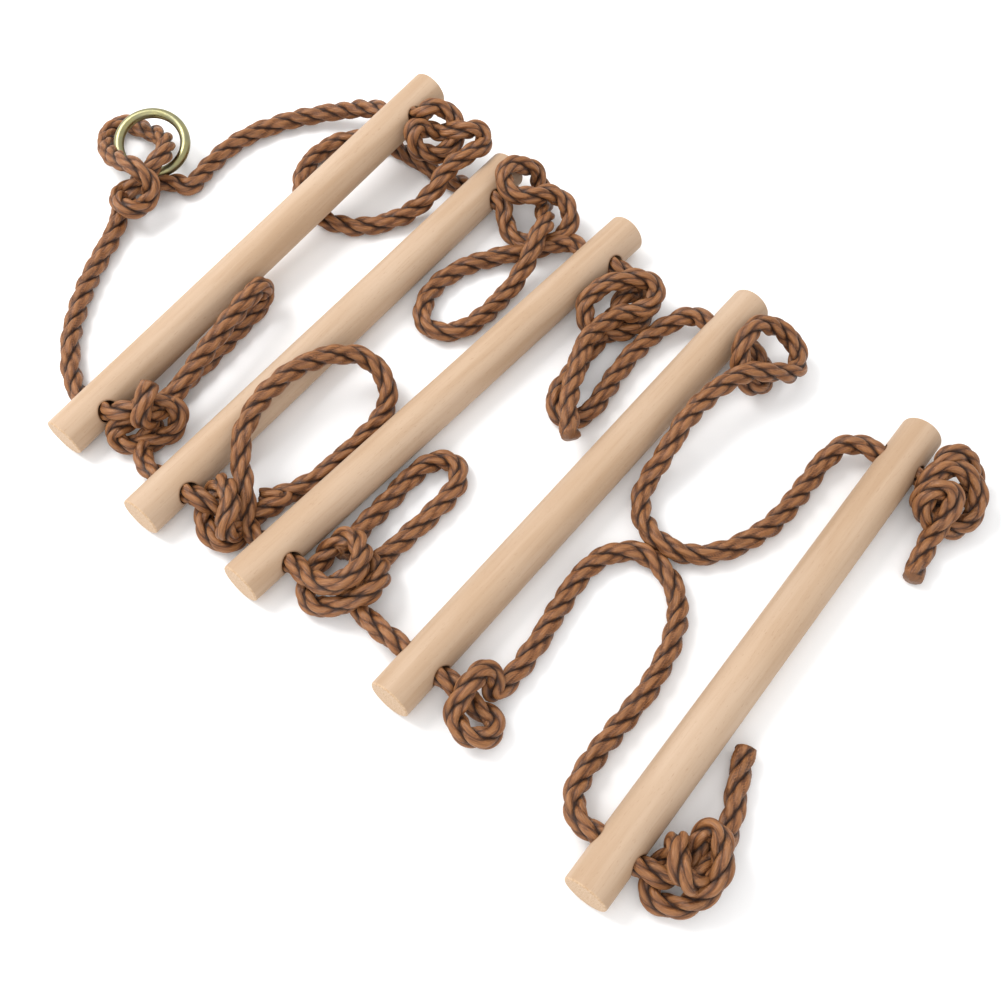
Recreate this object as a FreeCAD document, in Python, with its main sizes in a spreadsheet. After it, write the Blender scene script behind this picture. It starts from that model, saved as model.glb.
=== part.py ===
"""Wooden rope ladder: five beech rungs on two knotted three-strand ropes, with a steel ring on top.

Frame: millimetres, lying on the floor plane z = 0, X along the rungs, +Y towards the ring, +Z up.
Each rung is threaded on both ropes. A stopper knot in front of every hole carries the rung, and the
slack rope between one knot and the next hole lies in loops.
"""
import FreeCAD, Part
import Sketcher
import math
import os

from FreeCAD import Placement, Rotation, Vector

DIMENSIONS = {
    "rung_length": 400.0,
    "rung_diameter": 30.0,
    "rung_edge": 1.5,
    "hole_diameter": 16.0,
    "hole_inset": 33.0,
    "rope_diameter": 15.0,
    "through_length": 45.0,
    "through_behind": 16.0,
    "knot_height": 30.0,
    "knot_round": 10.0,
    "ring_radius": 26.0,
    "ring_wire_radius": 4.0,
    "eye_gap": 0.4,
    "eye_wall": 7.0,
    "eye_angle": 40.0,
    "ring_tilt": 18.0,
}

# A rung's middle, how far it is turned about Z, how far its right end is lifted and how far its
# holes look up at the front, in mm and degrees. Rope passes under rung 1, which lifts its right end.
RUNGS = {
    1: {"middle": (8.7, 156.0, 26.8), "turn": 1.3, "lift": 3.37, "roll": 22.0},
    2: {"middle": (-0.5, 68.7, 15.0), "turn": 1.3, "lift": 0.0, "roll": 12.0},
    3: {"middle": (6.5, -30.4, 15.0), "turn": -2.2, "lift": 0.0, "roll": 8.0},
    4: {"middle": (8.6, -150.7, 15.0), "turn": 0.1, "lift": 0.0, "roll": 0.0},
    5: {"middle": (-8.8, -311.4, 15.0), "turn": 1.9, "lift": 0.0, "roll": 0.0},
}

# A knot's outer shape: the middle of its underside, its length, its width and its turn about Z.
KNOTS = {
    "ring_knot": ((-4.0, 260.0, 0.0), 46.0, 40.0, -42.6),
    "knot_1_left": ((-146.0, 118.0, 0.0), 50.0, 34.0, 0.0),
    "knot_1_right": ((176.0, 119.0, 20.0), 54.0, 40.0, 0.0),
    "knot_2_left": ((-164.0, 27.0, 0.0), 42.0, 38.0, 0.0),
    "knot_2_right": ((176.0, 29.0, 0.0), 50.0, 42.0, 0.0),
    "knot_3_left": ((-146.0, -68.0, 0.0), 54.0, 44.0, 0.0),
    "knot_3_right": ((156.0, -77.0, 0.0), 54.0, 40.0, 0.0),
    "knot_4_left": ((-157.0, -193.0, 0.0), 44.0, 38.0, 0.0),
    "knot_4_right": ((172.0, -191.0, 0.0), 52.0, 38.0, 0.0),
    "knot_5_left": ((-158.0, -358.0, 0.0), 54.0, 44.0, 0.0),
    "knot_5_right": ((154.0, -345.0, 0.0), 48.0, 40.0, 0.0),
}

# The ring's middle, and the direction in the floor plane in which it leans up, in degrees from X.
RING_MIDDLE = (37.0, 303.65, 21.0)
RING_AWAY = 47.4

# Each rope's route: points in mm, starting inside the knot that it leaves. "hole" names the rung and
# side whose hole it runs into, and "lead" is how far behind the rung its straight last run begins.
ROPES = {
    "bridle_left": {
        "points": [(-14, 262, 9), (-40, 268, 7.5), (-68, 257, 7.5), (-99, 240, 7.5), (-128, 219, 7.5),
                   (-147, 197, 7.5)],
        "hole": (1, "left"), "lead": 25.2,
    },
    "bridle_right": {
        "points": [(4, 256, 9), (28, 256, 7.5), (56, 263, 7.5), (86, 265, 7.5), (112, 259, 7.5),
                   (138, 245, 8), (160, 224, 12)],
        "hole": (1, "right"), "lead": 40.0,
    },
    "rope_1_2_left": {
        "points": [(-140, 121, 9), (-158, 111, 7.5)],
        "hole": (2, "left"), "lead": 32.0,
    },
    "rope_1_2_right": {
        "points": [(174, 116, 33), (157, 101, 29), (138, 99, 19), (118, 107, 8.5), (98, 117, 7.5),
                   (82, 131, 7.5), (74, 151, 7.5), (75, 174, 7.5), (87, 194, 7.5), (109, 205, 7.5),
                   (135, 205, 7.5), (156, 192, 7.5), (165, 170, 7.5), (166, 146, 7.5), (166, 125, 7.5)],
        "hole": (2, "right"), "lead": 36.0,
    },
    "rope_2_3_left": {
        "points": [(-158, 24, 8), (-140, 19, 7.5), (-124, 6, 7.5), (-104, -2.5, 7.5), (-76, -4, 7.5),
                   (-46, -5, 7.5), (-25, -2, 10), (-11, 12, 18), (-11, 33, 27), (-31, 48, 35),
                   (-59, 55, 40), (-89, 56, 39), (-115, 49, 34), (-132, 35, 27), (-143, 20, 22.5)],
        "hole": (3, "left"), "lead": 31.0,
    },
    "rope_2_3_right": {
        "points": [(174, 24, 20), (156, 9, 24), (138, 2, 19), (120, 0, 10), (98, -1, 7.5),
                   (72, -1, 7.5), (52, 7, 7.5), (44, 24, 7.5), (56, 40, 7.5), (82, 46.5, 7.5),
                   (110, 40, 7.5), (136, 23, 7.5), (159, 5, 8.5)],
        "hole": (3, "right"), "lead": 30.0,
    },
    "rope_3_4_left": {
        "points": [(-148, -74, 12), (-154, -90, 9), (-158, -105, 11)],
        "hole": (4, "left"), "lead": 30.0,
    },
    "rope_3_4_right": {
        "points": [(142, -76, 9), (116, -80, 7.5), (86, -83, 7.5), (60, -85, 7.5), (48, -93, 7.5),
                   (47, -105, 7.5), (56, -114, 7.5), (80, -112, 7.5), (108, -107, 7.5),
                   (136, -107, 8), (159, -111, 10)],
        "hole": (4, "right"), "lead": 28.0,
    },
    "rope_4_5_left": {
        "points": [(-150, -197, 11), (-124, -199, 8), (-97, -196, 7.5), (-68, -191, 7.5),
                   (-40, -188, 7.5), (-17, -194, 7.5), (-5, -212, 7.5), (-8, -232, 7.5),
                   (-24, -249, 7.5), (-49, -261, 7.5), (-79, -269, 7.5), (-108, -270, 7.5),
                   (-134, -270, 7.5), (-155, -272, 8.5), (-170, -279, 12)],
        "hole": (5, "left"), "lead": 27.0,
    },
    "rope_4_5_right": {
        "points": [(165, -187, 15), (146, -182, 19), (125, -177, 25), (102, -175.5, 27),
                   (79, -176, 25), (56, -180, 18), (36, -188, 10), (21, -201, 7.5), (15, -222, 7.5),
                   (23, -243, 7.5), (41, -258, 7.5), (69, -265, 7.5), (101, -265, 7.5),
                   (129, -263, 9), (149, -266, 12.5)],
        "hole": (5, "right"), "lead": 29.0,
    },
    "bight_1_left": {
        "points": [(-138, 122, 10), (-112, 126, 8), (-84, 127, 7.5), (-56, 129, 7.5), (-35, 131, 7.5),
                   (-20, 132, 7.5), (-12, 132, 15.5), (-12, 130, 26.5), (-20, 128, 34.5),
                   (-36, 126, 34.5), (-60, 122, 33.5), (-88, 117, 31), (-114, 114, 25), (-134, 114, 20)],
    },
    "bight_3_left": {
        "points": [(-136, -76, 13), (-112, -80, 8.5), (-86, -80.5, 7.5), (-62, -82, 7.5),
                   (-42, -80.5, 7.5), (-31, -72.5, 7.5), (-31, -60.5, 7.5), (-42, -52.5, 7.5),
                   (-62, -51, 7.5), (-86, -52.5, 7.5), (-112, -53, 9), (-134, -58, 12)],
    },
    "tail_3_right": {
        "points": [(142, -70, 17), (122, -72, 22), (103, -78, 23.5), (82, -87, 23.5), (60, -97, 23.5),
                   (42, -109, 23.5), (28, -123, 23.5)],
    },
    "tail_5_left": {
        "points": [(-150, -366, 14), (-132, -364, 9), (-113, -357, 7.5), (-92, -347, 7.5),
                   (-71, -338, 7.5)],
    },
    "tail_5_right": {
        "points": [(144, -348, 14), (127, -351, 9), (109, -354, 7.5), (91, -358, 7.5)],
    },
    "stub_1_left": {
        "points": [(-142, 116, 22), (-134, 119, 31), (-123, 124, 38)],
    },
}

ARC_SHARE = 0.45
VOLUME_TOLERANCE = 0.01

doc = FreeCAD.newDocument("rope_ladder")
sheet = doc.addObject("Spreadsheet::Sheet", "Dimensions")
knot_sizes = {}
for knot, (underside, length, width, turn) in KNOTS.items():
    knot_sizes[f"{knot}_length"] = length
    knot_sizes[f"{knot}_width"] = width
for row, (alias, size) in enumerate((DIMENSIONS | knot_sizes).items(), start=1):
    sheet.set(f"A{row}", alias)
    sheet.set(f"B{row}", str(size))
    sheet.setAlias(f"B{row}", alias)
doc.recompute()


def size_of(alias):
    """A driving dimension, read back from the sheet."""
    return float(sheet.get(alias))


def origin_plane(body, role):
    """One of a body's own three origin planes."""
    return next(plane for plane in body.Origin.OriginFeatures if plane.Role == role)


def new_sketch(body, name, role):
    """A sketch on one of the body's origin planes."""
    sketch = body.newObject("Sketcher::SketchObject", name)
    sketch.AttachmentSupport = (origin_plane(body, role), [""])
    sketch.MapMode = "FlatFace"
    return sketch


def add_circle(sketch, middle_x, diameter_expression, offset_expression=None):
    """A circle with its middle on the sketch's horizontal axis, sized by the sheet."""
    guess = Part.Circle(Vector(middle_x, 0, 0), Vector(0, 0, 1), 5)
    circle = sketch.addGeometry(guess, False)
    diameter = sketch.addConstraint(Sketcher.Constraint("Diameter", circle, 10.0))
    sketch.setExpression(f"Constraints[{diameter}]", diameter_expression)
    if offset_expression is None:
        sketch.addConstraint(Sketcher.Constraint("Coincident", circle, 3, -1, 1))
        return
    sketch.addConstraint(Sketcher.Constraint("PointOnObject", circle, 3, -1))
    offset = sketch.addConstraint(Sketcher.Constraint("DistanceX", -1, 1, circle, 3, middle_x))
    sketch.setExpression(f"Constraints[{offset}]", offset_expression)


def round_edges(body, base, chosen, size_alias):
    """A fillet on the edges of the base feature that the chosen test picks."""
    names = [f"Edge{number}" for number, edge in enumerate(base.Shape.Edges, start=1) if chosen(edge)]
    fillet = body.newObject("PartDesign::Fillet", "Rounding")
    fillet.Base = (base, names)
    fillet.setExpression("Radius", f"Dimensions.{size_alias}")


def rung_placement(number):
    """Where a rung lies: turned about Z, lifted at its right end and rolled about its own axis."""
    rung = RUNGS[number]
    turned = Rotation(Vector(0, 0, 1), rung["turn"])
    lifted = Rotation(Vector(0, 1, 0), -rung["lift"])
    rolled = Rotation(Vector(1, 0, 0), -rung["roll"])
    return Placement(Vector(*rung["middle"]), turned * lifted * rolled)


def make_rung(number):
    """A dowel along its own X axis, with a hole across it near each end."""
    body = doc.addObject("PartDesign::Body", f"rung_{number}")
    section = new_sketch(body, "Section", "YZ_Plane")
    add_circle(section, 0.0, "Dimensions.rung_diameter")
    dowel = body.newObject("PartDesign::Pad", "Dowel")
    dowel.Profile = section
    dowel.SideType = "Symmetric"
    dowel.setExpression("Length", "Dimensions.rung_length")
    half = size_of("rung_length") / 2
    reach = half - size_of("hole_inset")
    offset = "Dimensions.rung_length / 2 - Dimensions.hole_inset"
    holes = new_sketch(body, "Holes", "XZ_Plane")
    add_circle(holes, reach, "Dimensions.hole_diameter", offset)
    add_circle(holes, -reach, "Dimensions.hole_diameter", f"-({offset})")
    bore = body.newObject("PartDesign::Pocket", "Bore")
    bore.Profile = holes
    bore.Type = "ThroughAll"
    bore.SideType = "Symmetric"
    doc.recompute()
    round_edges(body, bore, lambda edge: abs(abs(edge.CenterOfMass.x) - half) < 0.01, "rung_edge")
    body.Placement = rung_placement(number)


def hole_line(number, side):
    """The middle of a rung's hole and the direction in which it looks out at the back."""
    placement = rung_placement(number)
    reach = size_of("rung_length") / 2 - size_of("hole_inset")
    middle = placement.multVec(Vector(-reach if side == "left" else reach, 0, 0))
    return middle, placement.Rotation.multVec(Vector(0, 1, 0))


def make_knot(name):
    """A knot's outer shape: a slot-shaped block with rounded edges."""
    underside, length, width, turn = KNOTS[name]
    radius = width / 2
    reach = length / 2 - radius
    upright = Vector(0, 0, 1)
    body = doc.addObject("PartDesign::Body", name)
    outline = new_sketch(body, "Outline", "XY_Plane")
    quarter = math.pi / 2
    right_circle = Part.Circle(Vector(reach, 0, 0), upright, radius)
    left_circle = Part.Circle(Vector(-reach, 0, 0), upright, radius)
    right = outline.addGeometry(Part.ArcOfCircle(right_circle, -quarter, quarter), False)
    left = outline.addGeometry(Part.ArcOfCircle(left_circle, quarter, 3 * quarter), False)
    back_line = Part.LineSegment(Vector(reach, radius, 0), Vector(-reach, radius, 0))
    front_line = Part.LineSegment(Vector(-reach, -radius, 0), Vector(reach, -radius, 0))
    back = outline.addGeometry(back_line, False)
    front = outline.addGeometry(front_line, False)
    joins = ((right, 2, back, 1), (left, 1, back, 2), (left, 2, front, 1), (right, 1, front, 2))
    for join in joins:
        outline.addConstraint(Sketcher.Constraint("Tangent", *join))
    outline.addConstraint(Sketcher.Constraint("Symmetric", right, 3, left, 3, -1, 1))
    outline.addConstraint(Sketcher.Constraint("PointOnObject", right, 3, -1))
    across = outline.addConstraint(Sketcher.Constraint("Radius", right, radius))
    along = outline.addConstraint(Sketcher.Constraint("DistanceX", -1, 1, right, 3, reach))
    outline.setExpression(f"Constraints[{across}]", f"Dimensions.{name}_width / 2")
    outline.setExpression(
        f"Constraints[{along}]", f"(Dimensions.{name}_length - Dimensions.{name}_width) / 2"
    )
    block = body.newObject("PartDesign::Pad", "Block")
    block.Profile = outline
    block.setExpression("Length", "Dimensions.knot_height")
    doc.recompute()
    round_edges(body, block, lambda edge: edge.BoundBox.ZLength < 0.01, "knot_round")
    body.Placement = Placement(Vector(*underside), Rotation(upright, turn))


def make_through_rope(number, side):
    """The straight stretch of rope inside a rung's hole, from behind the rung into its knot."""
    middle, backwards = hole_line(number, side)
    rope = doc.addObject("Part::Cylinder", f"rope_through_{number}_{side}")
    rope.setExpression("Radius", "Dimensions.rope_diameter / 2")
    rope.setExpression("Height", "Dimensions.through_length")
    behind = middle + backwards * size_of("through_behind")
    rope.Placement = Placement(behind, Rotation(Vector(0, 0, 1), -backwards))


def rounded_path(points):
    """Straight runs joined by tangent arcs as large as the runs beside them allow, and the radii."""
    edges = []
    radii = []
    start = points[0]
    for before, corner, after in zip(points, points[1:], points[2:]):
        arriving = corner - before
        leaving = after - corner
        reach = ARC_SHARE * min(arriving.Length, leaving.Length)
        radius = reach / math.tan(arriving.getAngle(leaving) / 2)
        arriving.normalize()
        leaving.normalize()
        inwards = (leaving - arriving).normalize()
        arc_start = corner - arriving * reach
        arc_end = corner + leaving * reach
        arc_middle = corner + inwards * (math.hypot(radius, reach) - radius)
        edges.append(Part.LineSegment(start, arc_start).toShape())
        edges.append(Part.Arc(arc_start, arc_middle, arc_end).toShape())
        radii.append(radius)
        start = arc_end
    edges.append(Part.LineSegment(start, points[-1]).toShape())
    return Part.Wire(edges), radii


def make_rope(name):
    """A free stretch of rope as a plain tube, face to face with the stretch inside the next hole."""
    route = ROPES[name]
    points = [Vector(*point) for point in route["points"]]
    if "hole" in route:
        middle, backwards = hole_line(*route["hole"])
        points.append(middle + backwards * route["lead"])
        points.append(middle + backwards * size_of("through_behind"))
    path, radii = rounded_path(points)
    radius = size_of("rope_diameter") / 2
    section = Part.Wire(Part.Circle(points[0], points[1] - points[0], radius).toShape())
    tube = path.makePipe(Part.Face(section))
    expected = math.pi * radius**2 * path.Length
    if abs(tube.Volume - expected) > VOLUME_TOLERANCE * expected:
        raise RuntimeError(f"{name}: volume {tube.Volume:.0f}, but section times length is {expected:.0f}")
    lowest = tube.optimalBoundingBox(False).ZMin
    listed = " ".join(f"{value:.0f}" for value in radii)
    print(f"{name}: length {path.Length:.0f} mm, lowest {lowest:.2f} mm, radii {listed}")
    rope = doc.addObject("Part::Feature", name)
    rope.Shape = tube


def ring_placement():
    """The ring's own frame: its X axis points away from the knot and up."""
    leaning = Rotation(Vector(0, 0, 1), RING_AWAY) * Rotation(Vector(0, 1, 0), -size_of("ring_tilt"))
    return Placement(Vector(*RING_MIDDLE), leaning)


def make_ring():
    """The round steel ring that the ladder hangs from."""
    ring = doc.addObject("Part::Torus", "top_ring")
    ring.setExpression("Radius1", "Dimensions.ring_radius")
    ring.setExpression("Radius2", "Dimensions.ring_wire_radius")
    ring.Placement = ring_placement()


def make_ring_eye():
    """The turn of rope that grips the ring's wire: a sleeve bent to the ring, in which it slides."""
    outer = doc.addObject("Part::Torus", "eye_outside")
    outer.setExpression("Radius2", "Dimensions.ring_wire_radius + Dimensions.eye_gap + Dimensions.eye_wall")
    inner = doc.addObject("Part::Torus", "eye_channel")
    inner.setExpression("Radius2", "Dimensions.ring_wire_radius + Dimensions.eye_gap")
    for torus in (outer, inner):
        torus.setExpression("Radius1", "Dimensions.ring_radius")
    outer.setExpression("Angle3", "Dimensions.eye_angle")
    first_side = Rotation(Vector(0, 0, 1), 180.0 - size_of("eye_angle") / 2)
    outer.Placement = Placement(Vector(0, 0, 0), first_side)
    eye = doc.addObject("Part::Cut", "ring_eye")
    eye.Base = outer
    eye.Tool = inner
    eye.Placement = ring_placement()


for rung_number in RUNGS:
    make_rung(rung_number)
    for rung_side in ("left", "right"):
        make_through_rope(rung_number, rung_side)
for knot in KNOTS:
    make_knot(knot)
for rope_name in ROPES:
    make_rope(rope_name)
make_ring()
make_ring_eye()
doc.recompute()

node_names = [f"rung_{number}" for number in RUNGS]
node_names += [f"rope_through_{number}_{side}" for number in RUNGS for side in ("left", "right")]
node_names += [*KNOTS, *ROPES, "top_ring", "ring_eye"]

for item in doc.Objects:
    if "Invalid" in item.State or "Error" in item.State:
        raise RuntimeError(f"{item.Label} failed: {item.State}")

os.makedirs("parts", exist_ok=True)
for name in node_names:
    shape = doc.getObject(name).Shape
    if shape.isNull() or not shape.isValid() or len(shape.Solids) != 1:
        raise RuntimeError(f"{name} is not one valid solid")
    shape.exportStep(f"parts/{name}.step")
print(f"{len(node_names)} sub-parts written")
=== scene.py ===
"""The looks of the wooden rope ladder: laid rope, beech rungs and the zinc-plated ring."""
import math

import bpy
from mathutils import Matrix, Vector


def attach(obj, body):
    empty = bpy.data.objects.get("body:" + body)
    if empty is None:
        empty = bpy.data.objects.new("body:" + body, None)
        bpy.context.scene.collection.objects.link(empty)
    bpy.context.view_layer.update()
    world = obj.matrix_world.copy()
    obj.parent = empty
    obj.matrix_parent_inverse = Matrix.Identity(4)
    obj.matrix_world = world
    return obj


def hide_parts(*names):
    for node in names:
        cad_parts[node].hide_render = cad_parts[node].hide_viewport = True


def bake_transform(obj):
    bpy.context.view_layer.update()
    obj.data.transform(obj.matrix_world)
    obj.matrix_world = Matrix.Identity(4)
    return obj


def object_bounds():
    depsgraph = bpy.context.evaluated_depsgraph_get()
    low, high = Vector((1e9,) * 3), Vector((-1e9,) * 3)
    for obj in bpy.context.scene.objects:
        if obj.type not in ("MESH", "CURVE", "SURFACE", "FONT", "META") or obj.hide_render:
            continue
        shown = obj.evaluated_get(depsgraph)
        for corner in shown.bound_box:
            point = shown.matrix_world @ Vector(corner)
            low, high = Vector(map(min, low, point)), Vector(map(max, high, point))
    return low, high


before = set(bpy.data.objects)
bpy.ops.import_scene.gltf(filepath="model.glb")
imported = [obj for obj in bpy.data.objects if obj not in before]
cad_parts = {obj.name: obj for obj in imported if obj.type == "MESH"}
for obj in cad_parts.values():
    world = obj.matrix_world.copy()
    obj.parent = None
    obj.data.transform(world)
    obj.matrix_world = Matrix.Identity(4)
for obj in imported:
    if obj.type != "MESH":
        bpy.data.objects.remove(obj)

CAD_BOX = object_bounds()
MM = 0.001

# ---------------------------------------------------------------- camera

# Places, lens and sensor in mm.
CAMERA_PLACE = (-386.3, -401.7, 799.7)
CAMERA_TARGET = (-30.0, -108.0, 0.0)
CAMERA_LENS = 48.38
SENSOR_WIDTH = 36.0


def make_camera():
    """The view from above and from the left, with the rungs running up to the right."""
    data = bpy.data.cameras.new("camera")
    data.lens = CAMERA_LENS
    data.sensor_width = SENSOR_WIDTH
    camera = bpy.data.objects.new("camera", data)
    bpy.context.scene.collection.objects.link(camera)
    camera.location = Vector(CAMERA_PLACE) * MM
    towards = Vector(CAMERA_TARGET) - Vector(CAMERA_PLACE)
    camera.rotation_euler = towards.to_track_quat("-Z", "Y").to_euler()
    bpy.context.scene.camera = camera


make_camera()

# ---------------------------------------------------------------- rungs and their holes

RUNG_LENGTH = 400.0
HOLE_DIAMETER = 16.0

# Middles of the rungs' holes in mm, and the direction in which each rung's holes look out at the back.
HOLES = {
    (1, "left"): (-157.99, 152.21, 17.01),
    (1, "right"): (175.37, 159.79, 36.58),
    (2, "left"): (-167.46, 64.91, 15.0),
    (2, "right"): (166.46, 72.49, 15.0),
    (3, "left"): (-160.38, -23.99, 15.0),
    (3, "right"): (173.38, -36.81, 15.0),
    (4, "left"): (-158.4, -150.99, 15.0),
    (4, "right"): (175.6, -150.41, 15.0),
    (5, "left"): (-175.71, -316.94, 15.0),
    (5, "right"): (158.11, -305.86, 15.0),
}
BACKS = {
    1: (0.001, 0.927, -0.374),
    2: (-0.022, 0.978, -0.208),
    3: (0.038, 0.990, -0.139),
    4: (-0.002, 1.0, 0.0),
    5: (-0.033, 0.999, 0.0),
}

# ---------------------------------------------------------------- materials

# Places of a colour mix node's sockets: its share, its two colours and its result.
MIX_SHARE = 0
MIX_FIRST = 6
MIX_SECOND = 7
MIX_RESULT = 2


class Nodes:
    """A new node material, with short ways to add and join its nodes."""

    def __init__(self, name):
        self.material = bpy.data.materials.new(name)
        self.material.use_nodes = True
        self.tree = self.material.node_tree
        self.shader = self.tree.nodes["Principled BSDF"]

    def join(self, source, target):
        """Lead one socket, or a plain value, into another."""
        if isinstance(source, bpy.types.NodeSocket):
            self.tree.links.new(source, target)
        else:
            target.default_value = source

    def add(self, kind, inputs=None, **settings):
        """A node of that kind with its settings and inputs."""
        node = self.tree.nodes.new(kind)
        for key, value in settings.items():
            setattr(node, key, value)
        for key, value in (inputs or {}).items():
            self.join(value, node.inputs[key])
        return node

    def attribute(self, name):
        return self.add("ShaderNodeAttribute", attribute_name=name)

    def stretched(self, vector, scale, offset=(0.0, 0.0, 0.0)):
        """The vector with each of its parts scaled and moved."""
        inputs = {"Vector": vector, "Scale": scale, "Location": offset}
        return self.add("ShaderNodeMapping", inputs).outputs["Vector"]

    def noise(self, vector, scale, detail, roughness):
        inputs = {"Vector": vector, "Scale": scale, "Detail": detail, "Roughness": roughness}
        return self.add("ShaderNodeTexNoise", inputs).outputs["Fac"]

    def math(self, operation, *values):
        node = self.add("ShaderNodeMath", operation=operation)
        for value, socket in zip(values, node.inputs):
            self.join(value, socket)
        return node.outputs[0]

    def range(self, value, low, high, to_low=0.0, to_high=1.0):
        """The value's place between low and high, led smoothly to another range."""
        inputs = {"Value": value, "From Min": low, "From Max": high, "To Min": to_low, "To Max": to_high}
        return self.add("ShaderNodeMapRange", inputs, interpolation_type="SMOOTHSTEP").outputs["Result"]

    def mix(self, share, first, second):
        """Two colours mixed by a share."""
        node = self.add("ShaderNodeMix", data_type="RGBA")
        self.join(share, node.inputs[MIX_SHARE])
        self.join(first, node.inputs[MIX_FIRST])
        self.join(second, node.inputs[MIX_SECOND])
        return node.outputs[MIX_RESULT]

    def bump(self, height, distance, strength):
        inputs = {"Height": height, "Distance": distance, "Strength": strength}
        return self.add("ShaderNodeBump", inputs).outputs["Normal"]

    def set(self, **inputs):
        """Sockets of the shader, by name with _ for a space."""
        for key, value in inputs.items():
            self.join(value, self.shader.inputs[key.replace("_", " ")])


def rope_material():
    """Silky brown synthetic fibres that run nearly along the rope, with painted shade in the grooves and
    in the creases between yarns, and a painted highlight on the yarn crests.
    """
    nodes = Nodes("rope")
    fibre = nodes.attribute("fibre").outputs["Vector"]
    depth = nodes.attribute("depth").outputs["Fac"]
    yarn = nodes.attribute("yarn").outputs["Fac"]
    tip = nodes.attribute("tip").outputs["Fac"]
    fine = nodes.noise(nodes.stretched(fibre, (1.0, 1.0, 0.055)), 1500.0, 2.0, 0.6)
    bundles = nodes.noise(nodes.stretched(fibre, (1.0, 1.0, 0.09)), 620.0, 2.0, 0.5)
    patches = nodes.noise(fibre, 55.0, 2.0, 0.5)
    light = (0.30, 0.122, 0.040, 1.0)
    middle = (0.155, 0.053, 0.013, 1.0)
    dark = (0.07, 0.022, 0.006, 1.0)
    faded = (0.24, 0.092, 0.034, 1.0)
    # painted highlight colour for the tops of the yarns
    crest_highlight = (0.36, 0.160, 0.056, 1.0)
    # painted shade colour for the creases between yarns
    crease_shade = (0.042, 0.012, 0.003, 1.0)
    # painted shade colour for the grooves between strands
    groove_shade = (0.028, 0.008, 0.002, 1.0)
    melted = (0.11, 0.045, 0.018, 1.0)
    colour = nodes.mix(nodes.range(fine, 0.38, 0.64), middle, light)
    colour = nodes.mix(nodes.range(bundles, 0.56, 0.36, 0.0, 0.6), colour, dark)
    colour = nodes.mix(nodes.range(patches, 0.35, 0.7, 0.0, 0.35), colour, faded)
    # painted highlight: the tops of the yarns are lightened as if lit
    colour = nodes.mix(nodes.range(yarn, 0.7, 1.0, 0.0, 0.4), colour, crest_highlight)
    # painted shade: the creases between the yarns are darkened
    colour = nodes.mix(nodes.range(yarn, 0.55, 0.05, 0.0, 0.75), colour, crease_shade)
    # painted shade: the rope is darkened deep in the grooves between its strands
    colour = nodes.mix(nodes.range(depth, 0.86, 0.55), colour, groove_shade)
    colour = nodes.mix(nodes.range(tip, 0.0035, 0.0008, 0.0, 0.6), colour, melted)
    height = nodes.math("ADD", nodes.math("MULTIPLY", fine, 0.45), bundles)
    nodes.set(Base_Color=colour, Roughness=nodes.range(fine, 0.3, 0.7, 0.5, 0.36),
              Specular_IOR_Level=0.4, Sheen_Weight=0.06, Sheen_Roughness=0.45,
              Sheen_Tint=(0.9, 0.62, 0.42, 1.0), Normal=nodes.bump(height, 0.0012, 0.9))
    return nodes.material


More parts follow.
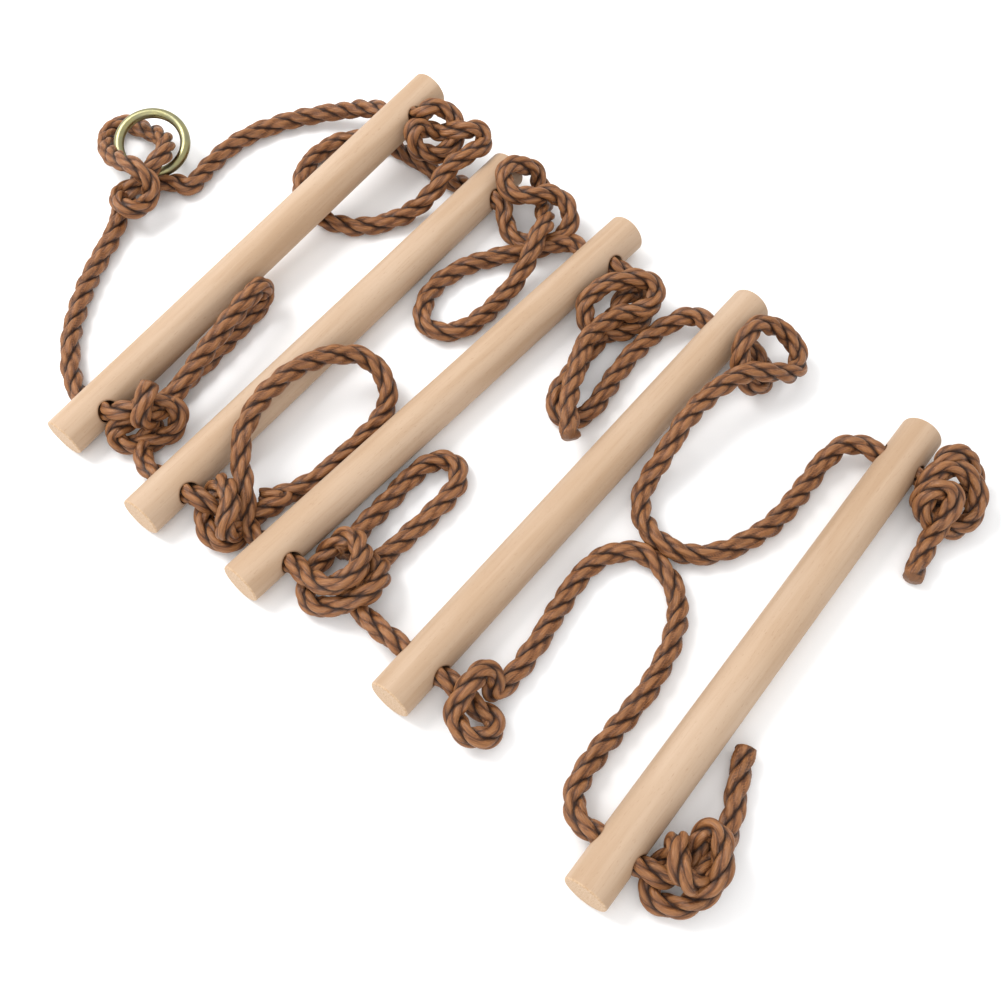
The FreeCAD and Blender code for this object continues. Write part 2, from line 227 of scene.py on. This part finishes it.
def rung_material(number):
    """Pale sanded beech: fine grain and short flecks along the rung, darker in and round its holes."""
    nodes = Nodes(f"beech_{number}")
    left, right = Vector(HOLES[number, "left"]), Vector(HOLES[number, "right"])
    along = (right - left).normalized()
    back = Vector(BACKS[number])
    back = (back - along * back.dot(along)).normalized()
    turned = Matrix((along, back, along.cross(back))).transposed()
    inputs = {
        "Vector": nodes.add("ShaderNodeTexCoord").outputs["Object"],
        "Location": (left + right) / 2 * MM,
        "Rotation": turned.to_euler(),
    }
    place = nodes.add("ShaderNodeMapping", inputs, vector_type="TEXTURE").outputs["Vector"]
    parts = nodes.add("ShaderNodeSeparateXYZ", {"Vector": place})
    x, z = parts.outputs["X"], parts.outputs["Z"]
    shifted = (0.37 * number, 0.21 * number, 0.13 * number)
    grain = nodes.noise(nodes.stretched(place, (0.035, 1.0, 1.0), shifted), 900.0, 4.0, 0.6)
    bands = nodes.noise(nodes.stretched(place, (0.05, 1.0, 1.0), shifted), 130.0, 3.0, 0.5)
    clouds = nodes.noise(nodes.stretched(place, (0.3, 1.0, 1.0), shifted), 30.0, 2.0, 0.5)
    flecks = nodes.noise(nodes.stretched(place, (0.16, 1.0, 1.0), shifted), 1500.0, 1.0, 0.5)
    pale = (0.49, 0.347, 0.235, 1.0)
    tan = (0.42, 0.28, 0.174, 1.0)
    blond = (0.55, 0.42, 0.315, 1.0)
    brown = (0.38, 0.23, 0.13, 1.0)
    fleck = (0.32, 0.185, 0.10, 1.0)
    end_pale = (0.57, 0.41, 0.27, 1.0)
    end_dark = (0.44, 0.28, 0.16, 1.0)
    hole_edge = (0.22, 0.12, 0.06, 1.0)
    hole_rim = (0.40, 0.25, 0.15, 1.0)
    colour = nodes.mix(nodes.range(bands, 0.3, 0.72), pale, tan)
    colour = nodes.mix(nodes.range(clouds, 0.4, 0.7, 0.0, 0.35), colour, blond)
    colour = nodes.mix(nodes.range(grain, 0.5, 0.78, 0.0, 0.35), colour, brown)
    colour = nodes.mix(nodes.range(flecks, 0.66, 0.74, 0.0, 0.35), colour, fleck)
    from_middle = nodes.math("ABSOLUTE", x)
    half = RUNG_LENGTH / 2 * MM
    at_end = nodes.range(from_middle, half - 0.0014, half - 0.0007)
    end_grain = nodes.noise(place, 700.0, 2.0, 0.6)
    end_colour = nodes.mix(nodes.range(end_grain, 0.35, 0.7), end_pale, end_dark)
    colour = nodes.mix(at_end, colour, end_colour)
    from_hole = nodes.math("SUBTRACT", from_middle, (right - left).length / 2 * MM)
    squares = nodes.math("ADD", nodes.math("MULTIPLY", from_hole, from_hole),
                         nodes.math("MULTIPLY", z, z))
    distance = nodes.math("SQRT", squares)
    hole = HOLE_DIAMETER / 2 * MM
    near_edge = nodes.range(distance, hole + 0.0012, hole + 0.0003, 0.0, 0.75)
    near_rim = nodes.range(distance, hole + 0.0045, hole + 0.0005, 0.0, 0.25)
    colour = nodes.mix(near_edge, colour, hole_edge)
    colour = nodes.mix(near_rim, colour, hole_rim)
    height = nodes.math("ADD", nodes.math("MULTIPLY", grain, 0.5), bands)
    nodes.set(Base_Color=colour, Roughness=nodes.range(grain, 0.3, 0.7, 0.62, 0.5),
              Specular_IOR_Level=0.3, Normal=nodes.bump(height, 0.0003, 0.35))
    return nodes.material


def ring_material():
    """Yellow zinc plating on drawn wire, a little uneven and dull."""
    nodes = Nodes("zinc")
    place = nodes.add("ShaderNodeTexCoord").outputs["Object"]
    clouds = nodes.noise(place, 90.0, 3.0, 0.6)
    specks = nodes.noise(place, 1500.0, 2.0, 0.6)
    yellow = (0.34, 0.31, 0.145, 1.0)
    grey = (0.26, 0.25, 0.15, 1.0)
    tarnish = (0.17, 0.15, 0.07, 1.0)
    colour = nodes.mix(nodes.range(clouds, 0.35, 0.68), yellow, grey)
    colour = nodes.mix(nodes.range(specks, 0.55, 0.75, 0.0, 0.4), colour, tarnish)
    nodes.set(Base_Color=colour, Metallic=1.0, Roughness=nodes.range(clouds, 0.3, 0.7, 0.26, 0.42),
              Normal=nodes.bump(specks, 0.00012, 0.5))
    return nodes.material


def floor_material():
    """A plain matt floor, nearly white."""
    nodes = Nodes("floor")
    place = nodes.add("ShaderNodeTexCoord").outputs["Object"]
    soft = nodes.noise(place, 3.0, 1.0, 0.5)
    white = (0.93, 0.93, 0.93, 1.0)
    shade = (0.91, 0.91, 0.91, 1.0)
    colour = nodes.mix(nodes.range(soft, 0.2, 0.8), white, shade)
    nodes.set(Base_Color=colour, Roughness=0.9, Specular_IOR_Level=0.1)
    return nodes.material


ROPE = rope_material()

# ---------------------------------------------------------------- rope

# Lengths in mm. A strand turns once round the rope in a lay length.
STRANDS = 3
LAY_LENGTH = 53.0
SIDES_PER_STRAND = 26
STRAND_OFFSET = 3.95
STRAND_HALF_HEIGHT = 3.75
STRAND_HALF_WIDTH = 4.15
WIDEST_STEP = 0.002

# The yarns in a strand: how many, their turns in a lay length, how much deeper the crease between two
# is, how far round the strand it fades out, in radians, and how far apart the strands' patterns start.
YARNS = 3
YARN_TURNS = 2.15
YARN_CREASE = 0.36
CREASE_REACH = 2.2
YARN_SHIFT = 0.37
FIBRE_LAY_LENGTH = 300.0
FIBRE_SHIFT = 40.0

# Hand-made unevenness: how much the lay wanders, in turns, how much a strand swells, and the mm in
# which each of these waves goes on by one radian.
SLOW_WANDER = 0.045
SLOW_WAVE = 19.0
QUICK_WANDER = 0.03
QUICK_WAVE = 7.3
SWELL = 0.03
SWELL_WAVE = 11.0

# A cut end is melted smooth over a length, to a plain round, and rounded over at its tip.
MELTED_LENGTH = 7.0
MELTED_RADIUS = 7.1
TIP_ROUNDING = 3.2
TIP_POWER = 2.4
SMALLEST_TIP = 0.02
FAR_FROM_TIP = 1000.0

# How far the straight stretch inside a hole reaches from the hole's middle.
THROUGH_BEHIND = 16.0
THROUGH_FRONT = 15.0

# Free stretches of rope, in mm, from the knot that they leave. A name is a rung and a side. The
# ropes between rungs 4 and 5 make two loops that touch.
BRIDLE_LEFT = [(-14, 262, 9), (-40, 268, 7.5), (-68, 257, 7.5), (-99, 240, 7.5), (-128, 219, 7.5),
               (-147, 197, 7.5)]
BRIDLE_RIGHT = [(4, 256, 9), (28, 256, 7.5), (56, 263, 7.5), (86, 265, 7.5), (112, 259, 7.5),
                (138, 245, 8), (160, 224, 12)]
ROUTES = {
    "1_left": [(-140, 121, 9), (-158, 111, 7.5)],
    "1_right": [(174, 116, 33), (157, 101, 29), (138, 99, 19), (118, 107, 8.5), (98, 117, 7.5),
                (82, 131, 7.5), (74, 151, 7.5), (75, 174, 7.5), (87, 194, 7.5), (109, 205, 7.5),
                (135, 205, 7.5), (156, 192, 7.5), (165, 170, 7.5), (166, 146, 7.5), (166, 125, 7.5)],
    "2_left": [(-158, 24, 8), (-140, 19, 7.5), (-124, 6, 7.5), (-104, -2.5, 7.5), (-76, -4, 7.5),
               (-46, -5, 7.5), (-25, -2, 10), (-11, 12, 18), (-11, 33, 27), (-31, 48, 35),
               (-59, 55, 40), (-89, 56, 39), (-115, 49, 34), (-132, 35, 27), (-143, 20, 22.5)],
    "2_right": [(174, 24, 20), (156, 9, 24), (138, 2, 19), (120, 0, 10), (98, -1, 7.5),
                (72, -1, 7.5), (52, 7, 7.5), (44, 24, 7.5), (56, 40, 7.5), (82, 46.5, 7.5),
                (110, 40, 7.5), (136, 23, 7.5), (159, 5, 8.5)],
    "3_left": [(-148, -74, 12), (-154, -90, 9), (-158, -105, 11)],
    "3_right": [(142, -76, 9), (116, -80, 7.5), (86, -83, 7.5), (60, -85, 7.5), (48, -93, 7.5),
                (47, -105, 7.5), (56, -114, 7.5), (80, -112, 7.5), (108, -107, 7.5),
                (136, -107, 8), (159, -111, 10)],
    "4_left": [(-150, -197, 11), (-124, -199, 8), (-97, -196, 7.5), (-68, -191, 7.5),
               (-41, -187, 7.5), (-17, -192, 7.5), (-3, -208, 7.5), (-5, -231, 7.5),
               (-20, -252, 7.5), (-47, -264, 7.5), (-79, -270, 7.5), (-108, -270, 7.5),
               (-134, -270, 7.5), (-155, -272, 8.5), (-170, -279, 12)],
    "4_right": [(165, -187, 15), (146, -187, 32), (133, -181, 31), (118, -177, 29), (100, -175.5, 28),
                (79, -176, 25), (57, -179, 17), (34, -180, 9), (14, -194, 10), (6, -216, 12),
                (15, -239, 8), (38, -255, 7.5), (69, -265, 7.5), (101, -265, 7.5),
                (129, -263, 9), (149, -266, 12.5)],
}

# Spare rope folded double beside a knot, the stub that ends it, the start of the rope beside rung 3's
# right tail, and the cut tails.
BIGHT_1 = [(-138, 122, 10), (-112, 126, 8), (-84, 127, 7.5), (-56, 129, 7.5), (-35, 131, 7.5),
           (-20, 132, 7.5), (-12, 132, 15.5), (-12, 130, 26.5), (-20, 128, 34.5), (-36, 126, 34.5),
           (-60, 122, 33.5), (-88, 117, 31), (-114, 114, 25), (-134, 114, 20)]
STUB_1 = [(-147, 112, 22), (-152, 112, 33), (-142, 113, 43), (-130, 119, 47)]
BIGHT_3 = [(-136, -76, 13), (-112, -80, 8.5), (-86, -80.5, 7.5), (-62, -82, 7.5), (-42, -80.5, 7.5),
           (-31, -72.5, 7.5), (-31, -60.5, 7.5), (-42, -52.5, 7.5), (-62, -51, 7.5), (-86, -52.5, 7.5),
           (-112, -53, 9), (-134, -58, 12)]
CENTRE_3_RIGHT = [(164, -76, 15), (156, -74, 15), (148, -74, 14)]
TAILS = {
    "3_right": [(122, -72, 22), (103, -78, 23.5), (82, -87, 23.5), (60, -97, 23.5),
                (42, -109, 23.5), (28, -123, 23.5)],
    "5_left": [(-150, -366, 14), (-132, -364, 9), (-113, -357, 7.5), (-92, -347, 7.5), (-71, -338, 7.5)],
    "5_right": [(144, -348, 14), (127, -351, 9), (109, -354, 7.5), (91, -358, 7.5)],
}

# The turns of each knot between the hole that it stops and the stretch that leaves it, in mm.
KNOTS = {
    "1_left": [(-157, 131, 27), (-152, 126, 29), (-144, 121, 28), (-134, 118, 27), (-126, 111, 24),
               (-126, 102, 18), (-134, 99, 12), (-143, 102, 9), (-154, 108, 8), (-164, 116, 8),
               (-168, 127, 12), (-162, 128, 18), (-151, 125, 18), (-142, 121, 14), (-141, 111, 12)],
    "1_right": [(179, 139, 51), (189, 136, 50), (194, 126, 45), (190, 116, 37), (179, 113, 29),
                (167, 118, 26), (159, 128, 29), (156, 134, 40), (163, 137, 48), (173, 134, 38),
                (182, 127, 34), (184, 117, 39), (190, 108, 43), (198, 101, 41), (197, 93, 34),
                (186, 92, 34), (174, 95, 35)],
    "2_left": [(-166, 40, 20), (-162, 31, 14), (-156, 22, 8), (-156, 13, 8), (-165, 6, 8),
               (-176, 8, 8), (-179, 18, 8), (-176, 31, 9), (-165, 39, 9), (-154, 41, 15),
               (-147, 36, 25), (-154, 22, 31), (-163, 13, 32), (-172, 10, 29), (-174, 8, 20),
               (-164, 9, 11), (-151, 10, 8), (-137, 7, 8), (-121, 3, 8)],
    "2_right": [(165, 48, 17), (157, 42, 11), (152, 32, 9), (152, 19, 8), (160, 7, 8), (172, 0, 9),
                (184, 0, 13), (193, 6, 19), (196, 18, 24), (189, 27, 28), (177, 34, 29),
                (169, 43, 31), (170, 54, 34), (179, 61, 37), (191, 61, 36), (204, 53, 27),
                (206, 47, 17), (199, 37, 10), (184, 25, 13), (169, 11, 22)],
    "3_left": [(-162, -51, 19), (-163, -63, 23), (-160, -74, 27), (-151, -81, 30), (-139, -81, 30),
               (-128, -73, 28), (-122, -60, 23), (-127, -51, 17), (-136, -49, 12), (-147, -49, 8),
               (-161, -51, 8), (-171, -60, 8), (-172, -73, 11), (-163, -82, 15), (-154, -90, 20),
               (-144, -95, 22), (-131, -92, 20), (-123, -80, 13), (-134, -76, 8)],
    "3_right": [(173, -62, 15), (176, -76, 9), (167, -89, 8), (150, -95, 8), (134, -91, 8),
                (123, -82, 10), (117, -70, 14), (122, -61, 19), (131, -57, 24), (143, -60, 28),
                (154, -67, 30), (165, -76, 30), (172, -85, 27), (168, -94, 22), (155, -97, 22),
                (145, -89, 20), (133, -81, 21)],
    "4_left": [(-158, -177, 15), (-158, -188, 10), (-158, -199, 8), (-157, -209, 8),
               (-165, -214, 9), (-175, -210, 12), (-178, -200, 14), (-175, -190, 14),
               (-168, -186, 19), (-159, -186, 25), (-147, -185, 27), (-138, -187, 22),
               (-138, -193, 14), (-147, -197, 8)],
    "4_right": [(176, -177, 13), (172, -188, 8), (161, -195, 8), (149, -192, 12), (148, -181, 21),
                (156, -173, 31), (169, -169, 37), (183, -170, 35), (193, -178, 29),
                (198, -190, 22), (193, -202, 16), (182, -209, 14), (170, -206, 20), (158, -197, 28)],
    "5_left": [(-174, -341, 17), (-170, -350, 15), (-160, -354, 12), (-149, -352, 14),
               (-140, -350, 20), (-133, -352, 25), (-134, -360, 27), (-144, -369, 27),
               (-154, -373, 24), (-164, -372, 18), (-173, -368, 13), (-181, -361, 9),
               (-184, -351, 8), (-180, -343, 8), (-169, -340, 8), (-158, -342, 10),
               (-150, -341, 17), (-152, -343, 26), (-161, -347, 31), (-168, -355, 31),
               (-168, -364, 24)],
    "5_right": [(159, -329, 17), (163, -330, 24), (171, -329, 32), (180, -334, 32), (186, -342, 24),
                (184, -351, 14), (174, -353, 8), (160, -347, 8), (150, -338, 8), (140, -335, 10),
                (142, -331, 16), (149, -329, 25), (157, -330, 31), (166, -334, 32), (172, -344, 30),
                (171, -356, 24), (165, -363, 17), (155, -366, 11), (142, -361, 9), (135, -351, 10),
                (133, -340, 17), (137, -334, 25), (146, -336, 32), (152, -345, 33), (146, -352, 28)],
}
RING_KNOT = [(-17, 283, 10), (-4, 284, 18), (10, 281, 25), (24, 280, 29), (36, 284, 28), (46, 298, 22),
             (50, 315, 14), (49, 334, 9), (46, 350, 8), (32, 352, 9), (17, 339, 12), (6, 318, 22),
             (3, 296, 33), (4, 278, 37), (4, 264, 27), (-9, 263, 16), (-22, 263, 22), (-24, 274, 23),
             (-14, 289, 16), (-2, 294, 9), (14, 282, 8), (28, 272, 8)]


def rope_outline():
    """Directions from each strand's middle to the rope's surface, from one groove to the next."""
    steepness = math.tan(math.pi / STRANDS)
    widest = math.pi / 2
    while (STRAND_HALF_WIDTH * math.sin(widest)
           < steepness * (STRAND_OFFSET + STRAND_HALF_HEIGHT * math.cos(widest))):
        widest += WIDEST_STEP
    return [(strand, widest * (2 * number / SIDES_PER_STRAND - 1))
            for strand in range(STRANDS) for number in range(SIDES_PER_STRAND)]


OUTLINE = rope_outline()


def rope_surface(strand, around, reach):
    """Radius and angle of a point on the rope, and how near it is to the top of its yarn, from 0 to 1.

    Each strand is twisted from yarns that turn against the rope's lay, so that the yarns run nearly
    along the rope on its outside, with a crease between one and the next.
    """
    turned = around / (2 * math.pi) + YARN_TURNS * reach / LAY_LENGTH + YARN_SHIFT * strand
    share = abs((turned * YARNS) % 1.0 - 0.5) * 2
    crest = 1 - share ** 2.4
    in_groove = min(1.0, abs(around) / CREASE_REACH) ** 4
    size = 1 - YARN_CREASE * (1 - crest) * (1 - in_groove)
    out = STRAND_OFFSET + STRAND_HALF_HEIGHT * size * math.cos(around)
    across = STRAND_HALF_WIDTH * size * math.sin(around)
    return math.hypot(out, across), math.atan2(across, out) + 2 * math.pi * strand / STRANDS, crest


def route_line(points):
    """Closely spaced points along the NURBS line with the given control points, in mm."""
    curve = bpy.data.curves.new("route", "CURVE")
    curve.dimensions = "3D"
    curve.resolution_u = 16
    spline = curve.splines.new("NURBS")
    spline.points.add(len(points) - 1)
    for control, point in zip(spline.points, points):
        control.co = (*point, 1.0)
    spline.order_u = 3
    spline.use_endpoint_u = True
    holder = bpy.data.objects.new("route", curve)
    line = bpy.data.meshes.new_from_object(holder)
    places = [vertex.co.copy() for vertex in line.vertices]
    bpy.data.objects.remove(holder)
    bpy.data.curves.remove(curve)
    bpy.data.meshes.remove(line)
    return places


class Line:
    """A rope's middle line, with a direction across it at each point that turns no more than it does."""

    def __init__(self, points):
        self.places = route_line(points)
        self.reach = [0.0]
        for before, after in zip(self.places, self.places[1:]):
            self.reach.append(self.reach[-1] + (after - before).length)
        self.last = len(self.places) - 1
        self.along = []
        for number in range(self.last + 1):
            step = self.places[min(self.last, number + 1)] - self.places[max(0, number - 1)]
            self.along.append(step.normalized())
        side = self.along[0].orthogonal().normalized()
        self.sides = [side]
        for before, after in zip(self.along, self.along[1:]):
            side = before.rotation_difference(after) @ side
            side = (side - after * side.dot(after)).normalized()
            self.sides.append(side)

    def nearest(self, point):
        """The number of the line's point nearest to the given one."""
        goal = Vector(point)
        return min(range(len(self.places)), key=lambda number: (self.places[number] - goal).length)


def end_scale(from_tip):
    """How far the rope has reached its full width, near a cut end that is rounded over."""
    share = min(1.0, from_tip / TIP_ROUNDING)
    return (1 - (1 - share) ** TIP_POWER) ** (1 / TIP_POWER)


def store(mesh, name, kind, key, values):
    """Keep a value for each of the mesh's points, under that name, for the material to read."""
    mesh.attributes.new(name, kind, "POINT").data.foreach_set(key, values)


def tube_faces(rings, sides):
    """The faces of a tube of so many rings, without its ends."""
    faces = []
    for ring in range(rings - 1):
        for side in range(sides):
            here = ring * sides + side
            beside = ring * sides + (side + 1) % sides
            faces.append((here, beside, beside + sides, here + sides))
    return faces


def rope_mesh(name, line, first, last, is_cut):
    """Three strands laid round the line from its point "first" to its point "last"."""
    sides = len(OUTLINE)
    vertices = []
    fibres = []
    depths = []
    crests = []
    tips = []
    numbers = range(first, last + 1)
    for number in numbers:
        place = line.places[number]
        reach = line.reach[number]
        from_tip = line.reach[last] - reach if is_cut else FAR_FROM_TIP
        melted = max(0.0, 1 - from_tip / MELTED_LENGTH) ** 0.7
        scale = max(SMALLEST_TIP, end_scale(from_tip))
        across = line.sides[number]
        up = line.along[number].cross(across)
        wander = (SLOW_WANDER * math.sin(reach / SLOW_WAVE)
                  + QUICK_WANDER * math.sin(reach / QUICK_WAVE + 1.0))
        turn = 2 * math.pi * (reach / LAY_LENGTH + wander)
        for strand, around in OUTLINE:
            radius, angle, crest = rope_surface(strand, around, reach)
            swell = 1 + SWELL * math.sin(reach / SWELL_WAVE + 2.1 * strand)
            wide = radius * swell * (1 - melted) + MELTED_RADIUS * melted
            heading = angle + turn
            offset = across * math.cos(heading) + up * math.sin(heading)
            vertices.append((place + offset * wide * scale) * MM)
            fibre_heading = heading - 2 * math.pi * reach / FIBRE_LAY_LENGTH
            fibres.append((math.cos(fibre_heading) * wide * MM, math.sin(fibre_heading) * wide * MM,
                           (reach + FIBRE_SHIFT * strand) * MM))
            depths.append(max(radius / (STRAND_OFFSET + STRAND_HALF_HEIGHT), melted))
            crests.append(max(crest, melted))
            tips.append(from_tip * MM)
    faces = tube_faces(len(numbers), sides)
    for ring, is_last in ((0, False), (len(numbers) - 1, True)):
        hub = len(vertices)
        vertices.append(line.places[numbers[ring]] * MM)
        fibres.append((0.0, 0.0, line.reach[numbers[ring]] * MM))
        depths.append(1.0)
        crests.append(1.0)
        tips.append(tips[ring * sides])
        for side in range(sides):
            here = ring * sides + side
            beside = ring * sides + (side + 1) % sides
            faces.append((hub, here, beside) if is_last else (hub, beside, here))
    mesh = bpy.data.meshes.new(name)
    mesh.from_pydata(vertices, [], faces)
    mesh.update()
    mesh.shade_smooth()
    store(mesh, "fibre", "FLOAT_VECTOR", "vector", [part for fibre in fibres for part in fibre])
    store(mesh, "depth", "FLOAT", "value", depths)
    store(mesh, "yarn", "FLOAT", "value", crests)
    store(mesh, "tip", "FLOAT", "value", tips)
    return mesh


def make_rope(name, line, first, last, replaced, far_end, body=None, fold=None):
    """One rope, from one point of a line to another, with its body and the CAD nodes that it hides.

    It rides on one body; given a fold, it is fixed in place in the world and rides on no body.
    """
    mesh = rope_mesh(name, line, first, last, far_end == "bare")
    mesh.materials.append(ROPE)
    rope = bpy.data.objects.new(name, mesh)
    bpy.context.scene.collection.objects.link(rope)
    if fold is None:
        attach(rope, body)
    else:
        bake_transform(rope)
    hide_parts(*replaced)


def hole_end(rung, side, lead):
    """The last points of a stretch that comes in from behind and ends inside the rung's hole."""
    middle = Vector(HOLES[rung, side])
    back = Vector(BACKS[rung])
    return [tuple(middle + back * lead), tuple(middle + back * THROUGH_BEHIND), tuple(middle)]


def hole_start(rung, side):
    """The first points of a rope that starts inside the rung's hole and leaves it at the front."""
    middle = Vector(HOLES[rung, side])
    back = Vector(BACKS[rung])
    return [tuple(middle), tuple(middle - back * THROUGH_FRONT)]


# ---------------------------------------------------------------- the ropes, one by one

# How far behind the rung the last bend of a rope that runs into a hole lies, in mm.
BRIDLE_LEADS = {"left": 25.2, "right": 40.0}
LEADS = {"1_left": 32.0, "1_right": 36.0, "2_left": 31.0, "2_right": 30.0, "3_left": 30.0,
         "3_right": 28.0, "4_left": 27.0, "4_right": 29.0}

# Points for a bend of each rope from one body to the next: where it would start and where it would end;
# the ropes are built without them. The bridle and the ring's eye have theirs, and the others lie close
# behind a hole.
BRIDLE_FOLD = ((0, 197, 0), (0, 179, 0))
RING_FOLD = ((12.8, 277.4, 13.0), (27.0, 292.8, 13.0))
FOLDS = {
    "1_left": ((0, 98, 0), (0, 82, 0)),
    "1_right": ((0, 92.8, 29.6), (0, 81.6, 21.2)),
    "2_left": ((-160, 5.5, 12), (-164.4, -2.75, 6.2)),
    "2_right": ((0, -5, 0), (0, -20, 0)),
    "3_left": ((0, -118, 0), (0, -134, 0)),
    "3_right": ((0, -118, 0), (0, -134, 0)),
    "4_left": ((0, -272, 0), (0, -292, 0)),
    "4_right": ((0, -270, 0), (0, -290, 0)),
}


def fold_between(first_body, second_body, points):
    """A fold from one body to another, between two points."""
    return {"from": first_body, "to": second_body, "start": points[0], "end": points[1]}


def make_bridle():
    """The rope from rung 1 to the ring and back, with the knot that holds the ring's eye."""
    to_left_hole = hole_end(1, "left", BRIDLE_LEADS["left"])
    to_right_hole = hole_end(1, "right", BRIDLE_LEADS["right"])
    line = Line(to_left_hole[::-1] + BRIDLE_LEFT[:0:-1] + RING_KNOT + BRIDLE_RIGHT[1:] + to_right_hole)
    into_knot = line.nearest(RING_KNOT[0])
    out_of_knot = line.nearest(RING_KNOT[-1])
    at_rung = fold_between("top_knot", "rope_stage_1", BRIDLE_FOLD)
    at_ring = fold_between("top_knot", "ring_eye", RING_FOLD)
    make_rope("bridle_left_rope", line, 0, into_knot, ["bridle_left"], "object", fold=at_rung)
    make_rope("ring_knot_rope", line, into_knot, out_of_knot, ["ring_knot", "ring_eye"], "object",
              fold=at_ring)
    make_rope("bridle_right_rope", line, out_of_knot, line.last, ["bridle_right"], "object",
              fold=at_rung)


def make_stage(rung, side):
    """The rope from one rung's hole, through its knot and slack, to the next rung's hole."""
    stage = f"{rung}_{side}"
    points = hole_start(rung, side) + KNOTS[stage] + ROUTES[stage][1:]
    line = Line(points + hole_end(rung + 1, side, LEADS[stage]))
    fold = fold_between(f"rope_stage_{rung}", f"rope_stage_{rung + 1}", FOLDS[stage])
    replaced = [f"rope_through_{stage}", f"knot_{stage}", f"rope_{rung}_{rung + 1}_{side}"]
    make_rope(f"stage_{stage}_rope", line, 0, line.last, replaced, "object", fold=fold)


def make_end(rung, side):
    """The rope from a rung's hole, through its knot, to its cut end."""
    stage = f"{rung}_{side}"
    line = Line(hole_start(rung, side) + KNOTS[stage] + TAILS[stage][1:])
    replaced = [f"rope_through_{stage}", f"knot_{stage}", f"tail_{stage}"]
    make_rope(f"stage_{stage}_rope", line, 0, line.last, replaced, "bare", body=f"rope_stage_{rung}")


def make_bights():
    """The spare loops that come out of the left knots of rungs 1 and 3."""
    line = Line(BIGHT_1 + STUB_1)
    make_rope("bight_1_left_rope", line, 0, line.last, ["bight_1_left", "stub_1_left"], "bare",
              body="rope_stage_1")
    line = Line(BIGHT_3)
    make_rope("bight_3_left_rope", line, 0, line.last, ["bight_3_left"], "object",
              body="rope_stage_3")


def make_second_rope_3_right():
    """The rope that carries on from rung 3's right knot, beside its tail, to rung 4."""
    stage = "3_right"
    line = Line(CENTRE_3_RIGHT + ROUTES[stage] + hole_end(4, "right", LEADS[stage]))
    fold = fold_between("rope_stage_3", "rope_stage_4", FOLDS[stage])
    make_rope("stage_3_4_right_rope", line, 0, line.last, ["rope_3_4_right"], "object", fold=fold)


STAGES = ((1, "left"), (1, "right"), (2, "left"), (2, "right"), (3, "left"), (4, "left"), (4, "right"))
ENDS = ((3, "right"), (5, "left"), (5, "right"))

make_bridle()
for rung, side in STAGES:
    make_stage(rung, side)
for rung, side in ENDS:
    make_end(rung, side)
make_bights()
make_second_rope_3_right()

# ---------------------------------------------------------------- looks of the rungs and the ring


def give_material(node, material):
    """The CAD node's material slots all get that material."""
    shape = bpy.data.objects[node]
    if not shape.material_slots:
        shape.data.materials.append(material)
    for slot in shape.material_slots:
        slot.material = material


for number in BACKS:
    give_material(f"rung_{number}", rung_material(number))
give_material("top_ring", ring_material())

# ---------------------------------------------------------------- floor and light


# Places and sizes in metres, power in watts.
FLOOR_REACH = 6.0
FLOOR_GAP = 0.0004
WORLD_STRENGTH = 1.05
LIT_POINT = (0, -0.05, 0)
LIGHTS = {
    "key": {"place": (-0.25, 1.1, 1.5), "size": 0.9, "power": 24.0},
    "fill": {"place": (-1.0, -0.6, 1.3), "size": 1.2, "power": 6.0},
}


def make_floor():
    """A plain floor under the ladder."""
    reach = FLOOR_REACH
    mesh = bpy.data.meshes.new("floor")
    corners = [(-reach, -reach, 0), (reach, -reach, 0), (reach, reach, 0), (-reach, reach, 0)]
    mesh.from_pydata(corners, [], [(0, 1, 2, 3)])
    mesh.materials.append(floor_material())
    floor = bpy.data.objects.new("floor", mesh)
    bpy.context.scene.collection.objects.link(floor)
    floor.location = (0, 0, CAD_BOX[0][2] - FLOOR_GAP)


def make_light(name, place, size, power):
    """A soft square light that looks at the ladder's middle."""
    data = bpy.data.lights.new(name, "AREA")
    data.size = size
    data.energy = power
    lamp = bpy.data.objects.new(name, data)
    bpy.context.scene.collection.objects.link(lamp)
    lamp.location = place
    towards = Vector(LIT_POINT) - Vector(place)
    lamp.rotation_euler = towards.to_track_quat("-Z", "Y").to_euler()


def make_world(strength):
    """Even white light from all round."""
    world = bpy.data.worlds.new("world")
    world.use_nodes = True
    background = world.node_tree.nodes["Background"]
    background.inputs["Color"].default_value = (1.0, 1.0, 1.0, 1.0)
    background.inputs["Strength"].default_value = strength
    bpy.context.scene.world = world


make_floor()
make_world(WORLD_STRENGTH)
for name, light in LIGHTS.items():
    make_light(name, **light)
bpy.context.scene.view_settings.view_transform = "Standard"
